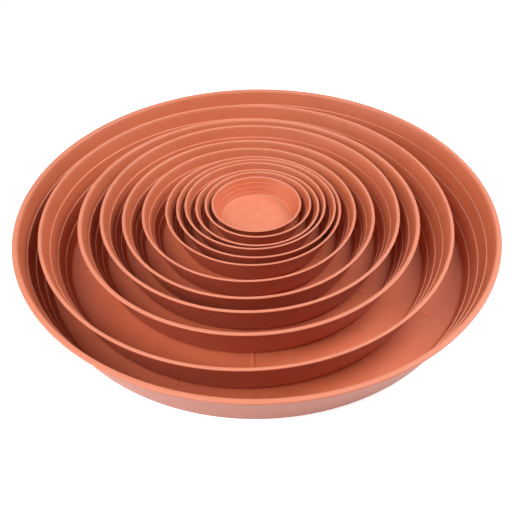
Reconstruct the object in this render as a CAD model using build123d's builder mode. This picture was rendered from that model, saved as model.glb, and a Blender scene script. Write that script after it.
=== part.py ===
"""A nest of twelve round plant saucers, standing one inside the next.

Every saucer is one moulded piece: a flat floor with raised ribs, a wall that
leans outwards in four stepped bands, and a thick rounded lip.
Sizes are in millimetres. The origin is the centre of the largest saucer's
underside, and +Z is up.
"""

import os
from math import cos, hypot, radians, sin, tan

from build123d import *

# The twelve saucers, from the largest to the smallest
names = [
    "saucer_60cm", "saucer_52cm", "saucer_43cm", "saucer_38cm",
    "saucer_32cm", "saucer_27cm", "saucer_23cm", "saucer_21cm",
    "saucer_18cm", "saucer_16cm", "saucer_14cm", "saucer_12cm",
]

# The largest saucer, and the size of every saucer as shares of it
largest_diameter = 600
largest_height = 72.4
largest_lip = 6.6
diameter_shares = [1, 0.856, 0.712, 0.631, 0.53, 0.452, 0.373, 0.34, 0.302, 0.265, 0.229, 0.193]
height_shares = [1, 0.912, 0.836, 0.767, 0.698, 0.635, 0.573, 0.518, 0.47, 0.414, 0.373, 0.325]
lip_shares = [1, 0.64, 0.73, 0.61, 0.55, 0.48, 0.4, 0.4, 0.4, 0.4, 0.4, 0.4]

# Wall thickness and the wall's lean from upright, largest and smallest saucer
largest_wall = 3.4
smallest_wall = 1.6
largest_lean_degrees = 21.4
smallest_lean_degrees = 25.5

# Steps round the inner wall: how far up the wall each one lies, and its width
step_height_shares = [0.21, 0.46, 0.71]
step_width_share = 0.4

# The lip: the roundness of its bead, and the flare that joins it to the wall
lip_round_share = 0.42
lip_drop_share = 0.56
lip_flare_share = 1.6

# Rounding where the wall meets the floor, outside and inside
base_round_share = 3
floor_round_share = 1

# Raised ribs on the floor, which hold up a pot or the next saucer
rib_count = 9
rib_height_share = 0.4
rib_width_share = 1.6
rib_start_share = 0.42
rib_end_share = 0.93
rib_draft_degrees = 20

# The pad in the middle of the floor and the mark that the moulding gate leaves
pad_radius_share = 0.325
pad_height_share = 0.16
gate_radius_share = 0.6
gate_height_share = 0.34

# The hollow under the floor, inside the ring that the saucer stands on
foot_inner_share = 0.9
foot_depth_share = 0.25

# How each saucer lies in the one around it: how far its ribs are turned, how
# much of the free play it is pushed over, and the clearance under it
turn_degrees = [7.8, 32.1, 4.6, 18, 27, 11, 35, 22, 6, 30, 14, 3.2]
shift_x_shares = [0, -0.363, 0.087, 0.07, -0.071, 0.037, 0.274, 0.55, -0.135, 0.359, 0.106, -0.262]
shift_y_shares = [0, -0.065, 0.098, 0.465, -0.344, 0.217, 0.188, 0.566, 0.492, -0.519, 0.69, 0.11]
seat_clearance = 0.1


def between(largest, smallest, index):
    """A value that changes evenly from the largest saucer to the smallest."""
    return largest + (smallest - largest) * index / (len(names) - 1)


class Saucer:
    """The worked-out sizes of one saucer, from its named ones."""

    def __init__(self, index):
        self.rim_radius = largest_diameter * diameter_shares[index] / 2
        self.height = largest_height * height_shares[index]
        self.lip = largest_lip * lip_shares[index]
        self.wall = between(largest_wall, smallest_wall, index)
        self.lean = radians(between(largest_lean_degrees, smallest_lean_degrees, index))
        self.inner_height = self.height - self.wall
        self.lip_inner = self.rim_radius - self.lip
        self.floor_radius = self.lip_inner - self.inner_height * tan(self.lean)
        self.across = self.wall / cos(self.lean)
        self.base_radius = self.floor_radius + self.across - self.wall * tan(self.lean)
        self.rib_height = rib_height_share * self.wall
        self.ledge = step_width_share * self.wall
        steps_width = self.ledge * len(step_height_shares)
        self.band_slope = tan(self.lean) - steps_width / self.inner_height

    def inner_wall(self):
        """Points up the inner wall, with a ledge at each step."""
        points = [(self.floor_radius, self.wall)]
        for number, share in enumerate(step_height_shares):
            rise = share * self.inner_height
            radius = self.floor_radius + rise * self.band_slope + number * self.ledge
            points += [(radius, self.wall + rise), (radius + self.ledge, self.wall + rise)]
        return points + [(self.lip_inner, self.height)]

    def top_band_radius(self, level):
        """The inner wall's radius at a level in its top band."""
        return self.lip_inner - (self.height - level) * self.band_slope

    def outer_wall(self):
        """Points down the outer wall, from under the lip to the base."""
        drop = self.height - lip_drop_share * self.lip
        flare = drop - lip_flare_share * self.lip
        flare_radius = self.base_radius + flare * tan(self.lean)
        return [(self.rim_radius, drop), (flare_radius, flare), (self.base_radius, 0)]

    def underside(self):
        """Points across the underside, from the base ring to the middle."""
        ring = foot_inner_share * self.floor_radius
        depth = foot_depth_share * self.wall
        return [(ring, 0), (ring - depth, depth), (0, depth)]


def nest(saucers):
    """Where each saucer stands: every one rests on the ribs of the one around it."""
    places = [(0, 0, 0)]
    for outer, inner, share_x, share_y in zip(
        saucers, saucers[1:], shift_x_shares[1:], shift_y_shares[1:]
    ):
        seat = outer.wall + outer.rib_height + seat_clearance
        lip_level = seat + inner.height - lip_drop_share * inner.lip
        lip_play = outer.top_band_radius(lip_level) - inner.rim_radius
        base_play = outer.floor_radius - inner.base_radius
        play = min(lip_play, base_play)
        x, y, z = places[-1]
        places.append((x + play * share_x, y + play * share_y, z + seat))
    return places


def corner(sketch, point):
    """The sketch corner at a point of the outline."""
    return min(
        sketch.vertices(),
        key=lambda vertex: hypot(vertex.X - point[0], vertex.Y - point[1]),
    )


def outline(saucer):
    """Half of the section through a saucer, radius across and height up."""
    inner = saucer.inner_wall()
    outer = saucer.outer_wall()
    with BuildSketch(mode=Mode.PRIVATE) as section:
        with BuildLine():
            Polyline(
                (0, saucer.wall), *inner, (saucer.rim_radius, saucer.height),
                *outer, *saucer.underside(), close=True,
            )
        make_face()
        lip_corners = [inner[-1], (saucer.rim_radius, saucer.height)]
        fillet([corner(section, point) for point in lip_corners], lip_round_share * saucer.lip)
        fillet(corner(section, outer[1]), lip_flare_share * saucer.lip)
        fillet(corner(section, outer[2]), base_round_share * saucer.wall)
        fillet(corner(section, inner[0]), floor_round_share * saucer.wall)
    return section.sketch


saucers = [Saucer(index) for index in range(len(names))]
os.makedirs("parts", exist_ok=True)

for name, saucer, place, turn in zip(names, saucers, nest(saucers), turn_degrees):
    turned = (cos(radians(turn)), sin(radians(turn)), 0)
    base = Plane(origin=place, x_dir=turned, z_dir=(0, 0, 1))
    upright = Plane(origin=place, x_dir=turned, z_dir=-base.y_dir)
    floor = base.offset(saucer.wall)

    with BuildPart() as moulding:
        with BuildSketch(upright):
            add(outline(saucer))
        revolve(axis=Axis(place, (0, 0, 1)))

        rib_start = rib_start_share * saucer.floor_radius
        rib_end = rib_end_share * saucer.floor_radius
        with BuildSketch(floor):
            with PolarLocations((rib_start + rib_end) / 2, rib_count):
                Rectangle(rib_end - rib_start, rib_width_share * saucer.wall)
        extrude(amount=saucer.rib_height, taper=rib_draft_degrees)

        with BuildSketch(floor):
            Circle(pad_radius_share * saucer.floor_radius)
        extrude(amount=pad_height_share * saucer.wall)

        with BuildSketch(floor):
            Circle(gate_radius_share * saucer.wall)
        extrude(amount=gate_height_share * saucer.wall)

    moulding.part.label = name
    export_step(moulding.part, f"parts/{name}.step")
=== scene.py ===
"""A nest of twelve terracotta plastic plant saucers, in metres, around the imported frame.

Every saucer is turned from one section, like the mould that makes it, and its
floor ribs are raised from the turned floor. It stands exactly where its CAD
node stands and rides on that node's body.
"""

from math import atan2, cos, hypot, pi, radians, sin, tan

import bmesh
import bpy
from mathutils import Matrix, Vector


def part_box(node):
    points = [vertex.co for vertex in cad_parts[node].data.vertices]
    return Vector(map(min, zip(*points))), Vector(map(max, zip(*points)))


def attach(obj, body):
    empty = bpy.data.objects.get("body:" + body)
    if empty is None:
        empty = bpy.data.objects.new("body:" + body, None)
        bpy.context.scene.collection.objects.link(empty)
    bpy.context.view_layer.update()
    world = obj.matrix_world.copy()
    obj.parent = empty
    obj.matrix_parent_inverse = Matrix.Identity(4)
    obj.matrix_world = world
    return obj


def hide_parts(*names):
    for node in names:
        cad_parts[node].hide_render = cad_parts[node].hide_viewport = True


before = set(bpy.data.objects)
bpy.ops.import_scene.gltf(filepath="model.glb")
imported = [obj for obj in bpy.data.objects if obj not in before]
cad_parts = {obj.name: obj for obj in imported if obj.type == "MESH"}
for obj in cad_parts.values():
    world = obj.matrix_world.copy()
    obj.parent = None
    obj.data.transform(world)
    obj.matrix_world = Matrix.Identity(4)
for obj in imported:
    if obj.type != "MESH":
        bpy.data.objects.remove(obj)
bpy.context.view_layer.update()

MM = 0.001

# The section of a saucer, as the source of the solids gives it
LARGEST_WALL, SMALLEST_WALL = 3.4 * MM, 1.6 * MM
LARGEST_LEAN, SMALLEST_LEAN = radians(21.4), radians(25.5)
LARGEST_LIP = 6.6 * MM
LIP_SHARES = (1, 0.64, 0.73, 0.61, 0.55, 0.48, 0.4, 0.4, 0.4, 0.4, 0.4, 0.4)
FIRST_STEP, STEP_RISE, STEP_COUNT, STEP_WIDTH = 0.21, 0.25, 3, 0.4
LIP_ROUND, LIP_DROP, LIP_FLARE = 0.42, 0.56, 1.6
BASE_ROUND, FLOOR_ROUND = 3, 1
RIB_COUNT, RIB_HEIGHT, RIB_WIDTH, RIB_START, RIB_END = 9, 0.4, 1.6, 0.42, 0.93
PAD_RADIUS, PAD_HEIGHT, GATE_RADIUS, GATE_HEIGHT = 0.325, 0.16, 0.6, 0.34
FOOT_INNER, FOOT_DEPTH = 0.9, 0.25
TURNS = [radians(turn) for turn in (7.8, 32.1, 4.6, 18, 27, 11, 35, 22, 6, 30, 14, 3.2)]

# Where the plastic looks softer than the solids: the lip's upright face is shorter, and
# the ribs are lower, most of all in the smallest saucer, and have flatter sides
LIP_OUTER_ROUND, LIP_FACE, LIP_FACE_ROUND = 0.25, 0.33, 0.2
WORN_RIB, WORN_SMALLEST_RIB, WORN_RIB_LEAN = 0.8, 0.3, radians(60)

# How finely the round shapes are divided
LONGEST_FACE = 5 * MM
FEWEST_FACES_A_RIB = 20
LIP_SEGMENTS, FLARE_SEGMENTS, BASE_SEGMENTS, FLOOR_SEGMENTS, EDGE_SEGMENTS = 7, 6, 8, 4, 2
EDGE_SOFTNESS = 0.1
SHARP = radians(30)
NEAR = 0.02 * MM

# The photograph's camera: its focal length in pixels of the picture, and its sensor's
# width in millimetres
PICTURE_WIDTH = 512
FOCAL_PIXELS = 700
SENSOR_WIDTH = 36
CAMERA_ELEVATION, CAMERA_ROLL = radians(42.295), radians(-0.797)
CAMERA_TARGET = Vector((-1.166, -92.236, 72.4)) * MM
CAMERA_DISTANCE = 815.02 * MM


def mixed(largest, smallest, share):
    """A value between the largest saucer's and the smallest's."""
    return largest + (smallest - largest) * share


class Saucer:
    """The sizes of one saucer, read from its CAD node and worked out as its section says."""

    def __init__(self, node, index, count):
        low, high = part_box(node)
        self.node = node
        self.share = index / (count - 1)
        self.smallest = index == count - 1
        self.turn = TURNS[index]
        self.place = Vector(((low.x + high.x) / 2, (low.y + high.y) / 2, low.z))
        self.rim = (high.x - low.x) / 2
        self.height = high.z - low.z
        self.lip = LARGEST_LIP * LIP_SHARES[index]
        self.wall = mixed(LARGEST_WALL, SMALLEST_WALL, self.share)
        self.lean = mixed(LARGEST_LEAN, SMALLEST_LEAN, self.share)
        self.inner_height = self.height - self.wall
        self.lip_inner = self.rim - self.lip
        self.floor_radius = self.lip_inner - self.inner_height * tan(self.lean)
        self.base_radius = (
            self.floor_radius + self.wall / cos(self.lean) - self.wall * tan(self.lean)
        )
        self.pad = PAD_RADIUS * self.floor_radius
        self.gate = GATE_RADIUS * self.wall
        worn = WORN_SMALLEST_RIB if self.smallest else WORN_RIB
        self.rib_height = RIB_HEIGHT * self.wall * worn
        self.rib_draft = self.rib_height * tan(WORN_RIB_LEAN)
        self.rib_start = RIB_START * self.floor_radius
        self.rib_end = RIB_END * self.floor_radius
        self.rib_half = RIB_WIDTH * self.wall / 2
        faces_a_rib = round(2 * pi * self.rim / LONGEST_FACE / RIB_COUNT / 2) * 2
        self.faces_a_rib = max(FEWEST_FACES_A_RIB, faces_a_rib)
        self.faces_round = self.faces_a_rib * RIB_COUNT

    def section(self):
        """Corners of the half section, from the floor's middle over the lip to the underside.

        Each is a radius and a height. A corner that is rounded has the radius and the
        segments of its rounding too.
        """
        pad_level = self.wall * (1 + PAD_HEIGHT)
        gate_level = self.wall * (1 + GATE_HEIGHT)
        corners = [
            (0, gate_level), (self.gate, gate_level), (self.gate, pad_level),
            (self.pad - PAD_HEIGHT * self.wall, pad_level), (self.pad, self.wall),
            (self.rib_start, self.wall), (self.rib_start + self.rib_draft, self.wall),
            (self.rib_end - self.rib_draft, self.wall), (self.rib_end, self.wall),
            (self.floor_radius, self.wall, FLOOR_ROUND * self.wall, FLOOR_SEGMENTS),
        ]
        ledge = STEP_WIDTH * self.wall
        slope = tan(self.lean) - ledge * STEP_COUNT / self.inner_height
        for number in range(STEP_COUNT):
            rise = (FIRST_STEP + number * STEP_RISE) * self.inner_height
            radius = self.floor_radius + rise * slope + number * ledge
            corners += [(radius, self.wall + rise), (radius + ledge, self.wall + rise)]
        face = self.height - LIP_FACE * self.lip
        flare = self.height - (LIP_DROP + LIP_FLARE) * self.lip
        flare_radius = self.base_radius + flare * tan(self.lean)
        ring = FOOT_INNER * self.floor_radius
        depth = FOOT_DEPTH * self.wall
        return corners + [
            (self.lip_inner, self.height, LIP_ROUND * self.lip, LIP_SEGMENTS),
            (self.rim, self.height, LIP_OUTER_ROUND * self.lip, LIP_SEGMENTS),
            (self.rim, face, LIP_FACE_ROUND * self.lip, FLARE_SEGMENTS),
            (flare_radius, flare, LIP_FLARE * self.lip, FLARE_SEGMENTS),
            (self.base_radius, 0, BASE_ROUND * self.wall, BASE_SEGMENTS),
            (ring, 0), (ring - depth, depth), (0, depth),
        ]


def turned(bm, saucer):
    """Spins the saucer's section into a closed body, with its poles merged."""
    profile = [bm.verts.new((corner[0], 0, corner[1])) for corner in saucer.section()]
    edges = [bm.edges.new(pair) for pair in zip(profile, profile[1:])]
    bmesh.ops.spin(
        bm, geom=profile + edges, cent=(0, 0, 0), axis=(0, 0, 1),
        angle=2 * pi, steps=saucer.faces_round, use_merge=True,
    )
    bmesh.ops.remove_doubles(bm, verts=bm.verts, dist=NEAR)
    bmesh.ops.recalc_face_normals(bm, faces=bm.faces)


def raise_ribs(bm, saucer):
    """Raises a rib from five of the floor's turned lines: its middle, top edges and feet.

    The lines on each side are drawn in to the rib's own width, and its top is lifted.
    """
    per_rib = saucer.faces_a_rib
    step = 2 * pi / saucer.faces_round
    middle, top_edge, foot = 0, 1, 2
    across = {middle: 0, top_edge: saucer.rib_half - saucer.rib_draft, foot: saucer.rib_half}
    top_start = saucer.rib_start + saucer.rib_draft - NEAR
    top_end = saucer.rib_end - saucer.rib_draft + NEAR
    for vert in bm.verts:
        radius = hypot(vert.co.x, vert.co.y)
        on_floor = abs(vert.co.z - saucer.wall) < NEAR
        if not on_floor or not saucer.rib_start - NEAR < radius < saucer.rib_end + NEAR:
            continue
        line = round(atan2(vert.co.y, vert.co.x) / step)
        rib = round(line / per_rib)
        offset = line - rib * per_rib
        if abs(offset) not in across:
            continue
        side = across[abs(offset)] * (1 if offset > 0 else -1)
        on_top = abs(offset) < foot and top_start < radius < top_end
        level = saucer.wall + (saucer.rib_height if on_top else 0)
        vert.co = Matrix.Rotation(rib * per_rib * step, 3, "Z") @ Vector((radius, side, level))


def round_corners(bm, saucer):
    """Rounds the lip, the flare under it, the base and the floor's edge, each to its radius."""
    corners = saucer.section()
    for number, corner in enumerate(corners):
        if len(corner) == 2:
            continue
        radius, level, rounding, segments = corner
        here = Vector((radius, level))
        before = (here - Vector(corners[number - 1][:2])).normalized()
        after = (Vector(corners[number + 1][:2]) - here).normalized()
        offset = rounding * tan(before.angle(after) / 2)
        ring = [
            edge for edge in bm.edges
            if all(abs(vert.co.z - level) < NEAR for vert in edge.verts)
            and all(abs(hypot(vert.co.x, vert.co.y) - radius) < NEAR for vert in edge.verts)
        ]
        bevel(bm, ring, offset, segments)


def soften_edges(bm, saucer):
    """Gives every edge that is still sharp the small radius of a moulded edge."""
    sharp = [edge for edge in bm.edges if edge.is_manifold and edge.calc_face_angle() > SHARP]
    bevel(bm, sharp, EDGE_SOFTNESS * saucer.wall, EDGE_SEGMENTS)


def bevel(bm, edges, offset, segments):
    """Rounds edges over an offset on both sides."""
    bmesh.ops.bevel(
        bm, geom=edges, offset=offset, segments=segments, profile=0.5,
        affect="EDGES", clamp_overlap=True, material=-1,
    )


def mould(saucer):
    """One saucer as a finished piece that stands for its CAD node."""
    bm = bmesh.new()
    turned(bm, saucer)
    raise_ribs(bm, saucer)
    round_corners(bm, saucer)
    soften_edges(bm, saucer)
    place = Matrix.Translation(saucer.place) @ Matrix.Rotation(saucer.turn, 4, "Z")
    bmesh.ops.transform(bm, matrix=place, verts=bm.verts)
    for face in bm.faces:
        face.smooth = True
    mesh = bpy.data.meshes.new(saucer.node + "_moulding")
    bm.to_mesh(mesh)
    bm.free()
    piece = bpy.data.objects.new(saucer.node + "_moulding", mesh)
    bpy.context.scene.collection.objects.link(piece)
    normals = piece.modifiers.new("even_shading", "WEIGHTED_NORMAL")
    normals.keep_sharp = False
    mesh.materials.append(terracotta(saucer))
    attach(piece, saucer.node)
    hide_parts(saucer.node)


class Value:
    """A shader socket that Python's arithmetic works on."""

    def __init__(self, shader, socket):
        self.shader, self.socket = shader, socket

    def math(self, operation, first, second):
        settings = {"operation": operation}
        return self.shader.add("ShaderNodeMath", settings, {0: first, 1: second})

    def __add__(self, other):
        return self.math("ADD", self, other)

    def __radd__(self, other):
        return self.math("ADD", other, self)

    def __sub__(self, other):
        return self.math("SUBTRACT", self, other)

    def __rsub__(self, other):
        return self.math("SUBTRACT", other, self)

    def __mul__(self, other):
        return self.math("MULTIPLY", self, other)

    def __rmul__(self, other):
        return self.math("MULTIPLY", other, self)

    def __truediv__(self, other):
        return self.math("DIVIDE", self, other)

    def __rtruediv__(self, other):
        return self.math("DIVIDE", other, self)


class Shader:
    """A material's or a world's nodes, added one call at a time."""

    def __init__(self, owner):
        self.owner = owner
        owner.use_nodes = True
        self.tree = owner.node_tree
        self.tree.nodes.clear()

    def add(self, kind, settings=None, inputs=None, output=0):
        """Adds a node: its settings first, then its sockets' values or links."""
        node = self.tree.nodes.new(kind)
        for name, value in (settings or {}).items():
            setattr(node, name, value)
        for name, value in (inputs or {}).items():
            if isinstance(value, Value):
                self.tree.links.new(value.socket, node.inputs[name])
            else:
                node.inputs[name].default_value = value
        return Value(self, node.outputs[output]) if node.outputs else None

    def noise(self, vector, scale, detail, roughness):
        """A pattern in three dimensions, its scale in repeats for each unit of the vector."""
        inputs = {"Vector": vector, "Scale": scale, "Detail": detail, "Roughness": roughness}
        return self.add("ShaderNodeTexNoise", {"noise_dimensions": "3D"}, inputs)

    def mix(self, share, first, second):
        """Mixes two colours, whose sockets stand behind those for numbers and vectors."""
        settings = {"data_type": "RGBA"}
        inputs = {0: share, 6: first, 7: second}
        return self.add("ShaderNodeMix", settings, inputs, output=2)

    def between(self, value, low, high, to_low, to_high):
        """Maps a value from one range to another, held at both ends."""
        inputs = {
            "Value": value, "From Min": low, "From Max": high,
            "To Min": to_low, "To Max": to_high,
        }
        return self.add("ShaderNodeMapRange", {"clamp": True}, inputs)


def srgb(red, green, blue):
    """A colour as a screen shows it, as the linear colour that a shader takes."""
    def linear(part):
        part /= 255
        return part / 12.92 if part <= 0.04045 else ((part + 0.055) / 1.055) ** 2.4
    return (linear(red), linear(green), linear(blue), 1)


# The plastic's colours: plain, deeper and scuffed; paler for painted highlights on the steps,
# painted light on the floor and the worn gate; darker for painted shade on the outside; and
# paler for a painted sheen on the lip
PLASTIC = srgb(205, 110, 76)
PLASTIC_DEEP = srgb(197, 103, 70)
PLASTIC_SCUFFED = srgb(213, 139, 110)
PLASTIC_LIT_AND_WORN = srgb(226, 160, 134)
PLASTIC_OUTER_SHADE = srgb(178, 91, 65)
PLASTIC_LIP_SHEEN = srgb(206, 143, 121)

# The plastic's patterns: the scale, detail and roughness of each one's noise
MOTTLE = (16, 3, 0.5)
STREAKS = (9, 3, 0.6)
LINES = (330, 2, 0.6)
MARKS = (900, 2, 0.6)
GRAIN = (1500, 2, 0.5)
SCUFFS = (60, 5, 0.7)

# How fast a flow streak changes outwards, and how dense the scuffs lie
STREAK_CHANGE = 4
SCUFFS_BEGIN, SCUFFS_FULL = 0.58, 0.74

# The plastic's refraction, its roughness before the patterns add to it, and its relief
REFRACTION, ROUGHNESS = 1.49, 0.38
RELIEF_STRENGTH, RELIEF_HEIGHT = 0.14, 0.2 * MM

# How much each pattern shows in the colour, in the roughness and as relief
MOTTLE_TONE, STREAK_TONE, LINE_TONE, SCUFF_TONE = 0.5, 0.2, 0.3, 0.22
TONE_PLAIN, TONE_DEEP = 0.38, 0.62
MOTTLE_ROUGHNESS, LINE_ROUGHNESS, SCUFF_ROUGHNESS = 0.08, 0.06, 0.1
LINE_RELIEF, MARK_RELIEF, GRAIN_RELIEF = 0.6, 0.25, 0.25

# How pale the painted sheen on the lip, the painted light on the floor, the painted highlights
# on the steps and the wear round the gate are, and how dark the painted shade round the pad is,
# each with its reach, which for the lip and the gate is a share of their own size
LIP_SHEEN, LIP_SHEEN_REACH = 0.38, 0.3
FLOOR_PAINTED_LIGHT, SMALLEST_FLOOR_PAINTED_LIGHT = 0.03, 0.25
LARGEST_STEP_HIGHLIGHT, SMALLEST_STEP_HIGHLIGHT, STEP_HIGHLIGHT_REACH = 0.55, 0.08, 0.4 * MM
GATE_WEAR, GATE_WEAR_REACH = 0.9, 1.5
PAD_SHADE_DEPTH, PAD_SHADE_REACH = 0.7, 1.2 * MM

# Where the painted shade on the outside begins, as a share of the wall, and how far under the
# lip's top the painted shade ends and is full, as shares of the lip
OUTER_SHADE_BEGINS, OUTER_SHADE_ENDS, OUTER_SHADE_FULL = 0.4, 0.1, 0.6

# The studio: its floor lies just under the nest, and keeps its shadow near the nest alone
WHITE = (1, 1, 1, 1)
FLOOR_WHITE = (0.86, 0.86, 0.86, 1)
FLOOR_GAP = 0.2 * MM
FLOOR_RADIUS, FLOOR_SIDES = 12, 64
SHADOW_FADES, SHADOW_ENDS = 500 * MM, 1000 * MM
FLOOR_SHOWN, FLOOR_IN_REFLECTIONS = 0.75, 0.95
STUDIO_LIGHT, STUDIO_IN_REFLECTIONS = 0.02, 0.55

# The soft lights: azimuth and elevation in degrees, distance, width and power
SOFTBOXES = {
    "back_right": (12, 50, 2.0, 1.0, 36),
    "front_left": (228, 50, 2.0, 1.0, 33.5),
    "right": (0, 18, 2.2, 1.2, 9),
    "left": (195, 18, 2.2, 1.2, 22),
}


def wall_depth(saucer, radius, z):
    """How far a point lies into the wall, from the wall's mean inner face outwards."""
    return radius - (z - saucer.wall) * tan(saucer.lean) - saucer.floor_radius


def painted_light_and_gate_wear(shader, saucer, radius, z):
    """Where the plastic is paler: painted highlights on the steps, painted light on the floor
    and wear round the gate.
    """
    rise = STEP_RISE * saucer.inner_height
    first_step = saucer.wall + FIRST_STEP * saucer.inner_height
    away = shader.add(
        "ShaderNodeMath", {"operation": "PINGPONG"}, {0: z - first_step, 1: rise / 2}
    )
    # Painted highlights along the steps' ledges
    step_highlight = mixed(LARGEST_STEP_HIGHLIGHT, SMALLEST_STEP_HIGHLIGHT, saucer.share)
    steps = shader.between(away, STEP_HIGHLIGHT_REACH / 2, STEP_HIGHLIGHT_REACH, step_highlight, 0)
    floor_level = saucer.wall + saucer.rib_height
    above_floor = shader.between(z, floor_level, (saucer.wall + first_step) / 2, 0, 1)
    # Painted light on the floor
    floor_light = SMALLEST_FLOOR_PAINTED_LIGHT if saucer.smallest else FLOOR_PAINTED_LIGHT
    floor = shader.between(z, floor_level, first_step, floor_light, 0)
    inside = shader.between(wall_depth(saucer, radius, z), 0, saucer.wall, 1, 0)
    gate = shader.between(radius, saucer.gate, saucer.gate * GATE_WEAR_REACH, GATE_WEAR, 0)
    return (steps * above_floor + floor) * inside + gate


def painted_lip_sheen(shader, saucer, z):
    """The top of the lip, with a painted sheen that makes it paler and less red."""
    top = saucer.height - LIP_SHEEN_REACH * saucer.lip
    return shader.between(z, top, saucer.height, 0, LIP_SHEEN)


def painted_outer_shade(shader, saucer, radius, z):
    """The outer wall below the lip, with painted shade as a deeper colour."""
    depth = wall_depth(saucer, radius, z)
    outer_side = shader.between(depth, OUTER_SHADE_BEGINS * saucer.wall, saucer.wall, 0, 1)
    full = saucer.height - OUTER_SHADE_FULL * saucer.lip
    end = saucer.height - OUTER_SHADE_ENDS * saucer.lip
    return outer_side * shader.between(z, full, end, 1, 0)


def painted_pad_shade(shader, saucer, radius):
    """Painted shade along the edge of the pad in the middle of the floor."""
    away = shader.add("ShaderNodeMath", {"operation": "ABSOLUTE"}, {0: radius - saucer.pad})
    return shader.between(away, 0, PAD_SHADE_REACH, PAD_SHADE_DEPTH, 0)


def terracotta(saucer):
    """Semi-matte terracotta plastic with flow streaks, turning lines, wear, grain and scuffs,
    with a painted sheen on the lip, painted highlights on the steps, painted light on the floor
    and painted shade on the outside and round the pad.
    """
    shader = Shader(bpy.data.materials.new(saucer.node + "_terracotta"))
    place = shader.add("ShaderNodeTexCoord", output="Object")
    inputs = {"Vector": place, "Location": -saucer.place}
    local = shader.add("ShaderNodeMapping", inputs=inputs)
    x, y, z = (
        shader.add("ShaderNodeSeparateXYZ", inputs={"Vector": local}, output=axis)
        for axis in "XYZ"
    )
    radius = shader.add("ShaderNodeMath", {"operation": "SQRT"}, {0: x * x + y * y})
    inputs = {"X": x / radius, "Y": y / radius, "Z": radius * STREAK_CHANGE}
    spokes = shader.add("ShaderNodeCombineXYZ", inputs=inputs)
    inputs = {"X": 0, "Y": z, "Z": saucer.turn}
    rings = shader.add("ShaderNodeCombineXYZ", inputs=inputs)

    mottle = shader.noise(local, *MOTTLE)
    streaks = shader.noise(spokes, *STREAKS)
    lines = shader.noise(rings, *LINES)
    marks = shader.noise(rings, *MARKS)
    grain = shader.noise(local, *GRAIN)
    scuffs = shader.between(shader.noise(local, *SCUFFS), SCUFFS_BEGIN, SCUFFS_FULL, 0, 1)

    tone = mottle * MOTTLE_TONE + streaks * STREAK_TONE + lines * LINE_TONE
    tone = shader.between(tone, TONE_PLAIN, TONE_DEEP, 0, 1)
    topside = shader.between(z, saucer.wall / 2, saucer.wall, 0, 1)
    light_and_wear = painted_light_and_gate_wear(shader, saucer, radius, z) * topside
    colour = shader.mix(tone, PLASTIC, PLASTIC_DEEP)
    # Painted shade: the outer wall below the lip is coloured deeper
    colour = shader.mix(painted_outer_shade(shader, saucer, radius, z), colour, PLASTIC_OUTER_SHADE)
    colour = shader.mix(scuffs * SCUFF_TONE, colour, PLASTIC_SCUFFED)
    # Painted highlights on the steps and painted light on the floor, with the wear round the
    # gate
    colour = shader.mix(light_and_wear, colour, PLASTIC_LIT_AND_WORN)
    # A painted sheen on the top of the lip
    colour = shader.mix(painted_lip_sheen(shader, saucer, z), colour, PLASTIC_LIP_SHEEN)
    # Painted shade along the pad's edge
    colour = shader.mix(painted_pad_shade(shader, saucer, radius) * topside, colour, PLASTIC_DEEP)
    roughness = ROUGHNESS + mottle * MOTTLE_ROUGHNESS + lines * LINE_ROUGHNESS
    roughness = roughness + scuffs * SCUFF_ROUGHNESS
    relief = lines * LINE_RELIEF + marks * MARK_RELIEF + grain * GRAIN_RELIEF
    inputs = {"Strength": RELIEF_STRENGTH, "Distance": RELIEF_HEIGHT, "Height": relief}
    bump = shader.add("ShaderNodeBump", inputs=inputs)
    inputs = {"Base Color": colour, "Roughness": roughness, "Normal": bump, "IOR": REFRACTION}
    surface = shader.add("ShaderNodeBsdfPrincipled", inputs=inputs)
    shader.add("ShaderNodeOutputMaterial", inputs={"Surface": surface})
    return shader.owner


def shown_white(shader, to_reflections):
    """How white a surface shows itself: wholly to the camera, and by a share in reflections."""
    camera, glossy, through = (
        shader.add("ShaderNodeLightPath", output=ray)
        for ray in ("Is Camera Ray", "Is Glossy Ray", "Is Transmission Ray")
    )
    return camera + glossy * to_reflections + through


def white_floor():
    """Matt white near the nest, where its shadow falls, and plain white further off."""
    shader = Shader(bpy.data.materials.new("white_floor"))
    matt = shader.add("ShaderNodeBsdfDiffuse", inputs={"Color": FLOOR_WHITE})
    white = shown_white(shader, FLOOR_IN_REFLECTIONS)
    inputs = {"Color": WHITE, "Strength": white * FLOOR_SHOWN}
    glow = shader.add("ShaderNodeEmission", inputs=inputs)
    near = shader.add("ShaderNodeAddShader", inputs={0: matt, 1: glow})
    far = shader.add("ShaderNodeEmission", inputs={"Color": WHITE, "Strength": white})
    place = shader.add("ShaderNodeTexCoord", output="Object")
    away = shader.add(
        "ShaderNodeVectorMath", {"operation": "LENGTH"}, {0: place}, output="Value"
    )
    fade = shader.between(away, SHADOW_FADES, SHADOW_ENDS, 0, 1)
    surface = shader.add("ShaderNodeMixShader", inputs={0: fade, 1: near, 2: far})
    shader.add("ShaderNodeOutputMaterial", inputs={"Surface": surface})
    return shader.owner


def ground():
    """The floor that the nest stands on."""
    bm = bmesh.new()
    bmesh.ops.create_circle(bm, cap_ends=True, radius=FLOOR_RADIUS, segments=FLOOR_SIDES)
    mesh = bpy.data.meshes.new("floor")
    bm.to_mesh(mesh)
    bm.free()
    floor = bpy.data.objects.new("floor", mesh)
    floor.location.z = -FLOOR_GAP
    bpy.context.scene.collection.objects.link(floor)
    mesh.materials.append(white_floor())


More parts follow.
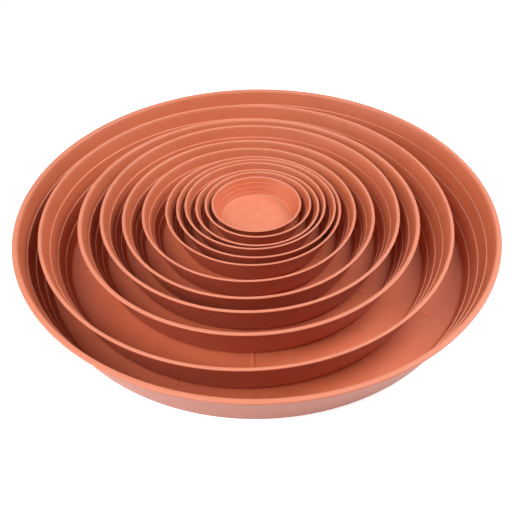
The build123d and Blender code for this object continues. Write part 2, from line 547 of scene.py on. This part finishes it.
def surroundings():
    """A white studio all round, plain to the camera and dimmer as light."""
    world = bpy.data.worlds.new("studio")
    bpy.context.scene.world = world
    shader = Shader(world)
    strength = shown_white(shader, STUDIO_IN_REFLECTIONS) + STUDIO_LIGHT
    walls = shader.add("ShaderNodeBackground", inputs={"Color": WHITE, "Strength": strength})
    shader.add("ShaderNodeOutputWorld", inputs={"Surface": walls})


def softbox(name, azimuth, elevation, distance, width, power):
    """A square soft light that faces the nest, its direction in degrees."""
    azimuth, elevation = radians(azimuth), radians(elevation)
    level = cos(elevation)
    place = Vector((level * cos(azimuth), level * sin(azimuth), sin(elevation))) * distance
    lamp = bpy.data.lights.new(name, "AREA")
    lamp.shape = "SQUARE"
    lamp.size = width
    lamp.energy = power
    light = bpy.data.objects.new(name, lamp)
    light.location = place
    light.rotation_euler = (-place).to_track_quat("-Z", "Y").to_euler()
    bpy.context.scene.collection.objects.link(light)


def photograph():
    """The camera where the photograph was taken from."""
    data = bpy.data.cameras.new("camera")
    data.sensor_width = SENSOR_WIDTH
    data.lens = FOCAL_PIXELS / PICTURE_WIDTH * SENSOR_WIDTH
    camera = bpy.data.objects.new("camera", data)
    back = Vector((0, -cos(CAMERA_ELEVATION), sin(CAMERA_ELEVATION)))
    right = Vector((1, 0, 0))
    up = back.cross(right)
    turn = Matrix((right, up, back)).transposed() @ Matrix.Rotation(CAMERA_ROLL, 3, "Z")
    place = Matrix.Translation(CAMERA_TARGET + back * CAMERA_DISTANCE)
    camera.matrix_world = place @ turn.to_4x4()
    bpy.context.scene.collection.objects.link(camera)
    bpy.context.scene.camera = camera


def rim_size(node):
    """How wide a node's saucer is."""
    low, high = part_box(node)
    return high.x - low.x


# The saucers, from the largest to the smallest
nodes = sorted(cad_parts, key=rim_size, reverse=True)
for index, node in enumerate(nodes):
    mould(Saucer(node, index, len(nodes)))

ground()
surroundings()
for name, settings in SOFTBOXES.items():
    softbox(name, *settings)
photograph()
bpy.context.scene.view_settings.view_transform = "Standard"
